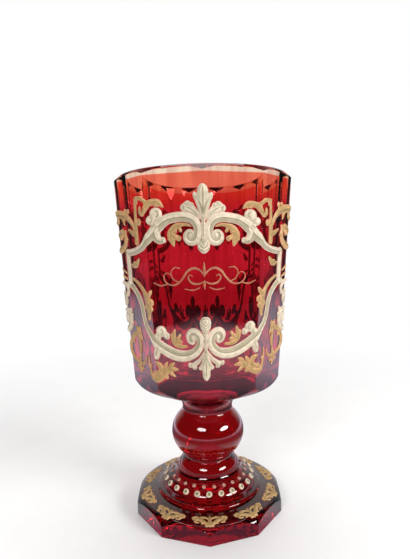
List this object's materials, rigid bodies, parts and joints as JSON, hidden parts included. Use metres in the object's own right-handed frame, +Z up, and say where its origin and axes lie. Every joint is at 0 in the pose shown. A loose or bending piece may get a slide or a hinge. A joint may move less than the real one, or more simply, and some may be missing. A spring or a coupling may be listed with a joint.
{
  "type": "pedestal bowl",
  "caption": "Footed goblet of cut ruby glass: a deep flat-sided bowl on a ball knop and a domed, flat-sided foot, wrapped in raised cream and ochre scroll enamel.",
  "frame": {"origin": "centre of the underside of the foot, on the surface that the goblet stands on", "axes": "+Z up along the goblet's axis, -Y to the front, where an edge between two cut flats carries the middle of the front panel, +X to the right"},
  "size_m": [0.075, 0.0798, 0.15],
  "materials": {
    "ruby_glass": "polished, clear ruby red",
    "cream_enamel": "raised fired enamel, opaque, satin gloss",
    "ochre_enamel": "raised fired enamel, opaque, dull gilt ochre"
  },
  "bodies": {
    "root": {"bowl": "ruby_glass", "knop": "ruby_glass", "foot": "ruby_glass", "front_frame": "cream_enamel", "back_frame": "cream_enamel", "right_shell": "cream_enamel", "left_shell": "cream_enamel", "right_crown_arch": "ochre_enamel", "left_crown_arch": "ochre_enamel", "right_crown_ring": "ochre_enamel", "left_crown_ring": "ochre_enamel", "front_right_upper_leaf": "ochre_enamel", "front_right_lower_leaf": "ochre_enamel", "front_right_corner_scroll": "ochre_enamel", "front_right_shoulder_leaf": "ochre_enamel", "front_right_side_leaf": "ochre_enamel", "front_right_bottom_spray": "ochre_enamel", "front_right_side_spray": "ochre_enamel", "front_left_upper_leaf": "ochre_enamel", "front_left_lower_leaf": "ochre_enamel", "front_left_corner_scroll": "ochre_enamel", "front_left_shoulder_leaf": "ochre_enamel", "front_left_side_leaf": "ochre_enamel", "front_left_bottom_spray": "ochre_enamel", "front_left_side_spray": "ochre_enamel", "back_right_upper_leaf": "ochre_enamel", "back_right_lower_leaf": "ochre_enamel", "back_right_corner_scroll": "ochre_enamel", "back_right_shoulder_leaf": "ochre_enamel", "back_right_side_leaf": "ochre_enamel", "back_right_bottom_spray": "ochre_enamel", "back_right_side_spray": "ochre_enamel", "back_left_upper_leaf": "ochre_enamel", "back_left_lower_leaf": "ochre_enamel", "back_left_corner_scroll": "ochre_enamel", "back_left_shoulder_leaf": "ochre_enamel", "back_left_side_leaf": "ochre_enamel", "back_left_bottom_spray": "ochre_enamel", "back_left_side_spray": "ochre_enamel", "foot_garland_1": "ochre_enamel", "foot_garland_2": "ochre_enamel", "foot_garland_3": "ochre_enamel", "foot_garland_4": "ochre_enamel", "foot_garland_5": "ochre_enamel", "foot_garland_6": "ochre_enamel", "foot_garland_7": "ochre_enamel", "foot_garland_8": "ochre_enamel", "foot_garland_9": "ochre_enamel", "foot_garland_10": "ochre_enamel"}
  },
  "joints": []
}
